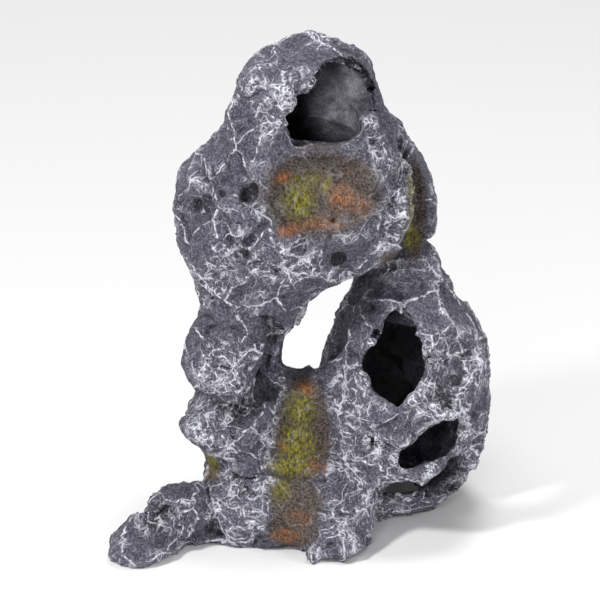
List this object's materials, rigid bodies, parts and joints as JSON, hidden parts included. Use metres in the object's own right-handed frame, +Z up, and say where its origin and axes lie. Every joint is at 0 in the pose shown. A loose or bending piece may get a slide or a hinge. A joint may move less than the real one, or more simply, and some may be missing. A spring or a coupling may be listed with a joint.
{
  "type": "resin cave ornament",
  "caption": "Rock-shaped aquarium cave ornament: a column and a hollow boulder carry an overhanging head, with a window between them and caves in head and boulder.",
  "frame": {"origin": "on the ground, in the middle of the ornament's box", "axes": "+Z up, +X to the right and +Y to the back, seen from the front with the cave mouths"},
  "size_m": [0.2293, 0.1536, 0.304],
  "materials": {
    "rock_paint": "cast polyresin, painted slate grey and dry-brushed white on the ridges, matt",
    "moss_paint": "cast polyresin, painted slate grey with moss green and rust glazes, matt",
    "pin_resin": "plain off-white resin"
  },
  "bodies": {
    "root": {"left_foot": "rock_paint", "column_base": "rock_paint", "column_knuckle": "rock_paint", "column_shaft": "rock_paint", "column_slab": "rock_paint", "head_front": "rock_paint", "head_peak": "rock_paint", "head_rear": "rock_paint", "neck": "rock_paint", "cave_front": "rock_paint", "cave_rear": "rock_paint", "base_lip": "rock_paint", "base_toe": "rock_paint", "moss_niche": "moss_paint", "moss_apron": "moss_paint", "locating_pins": "pin_resin"}
  },
  "joints": []
}
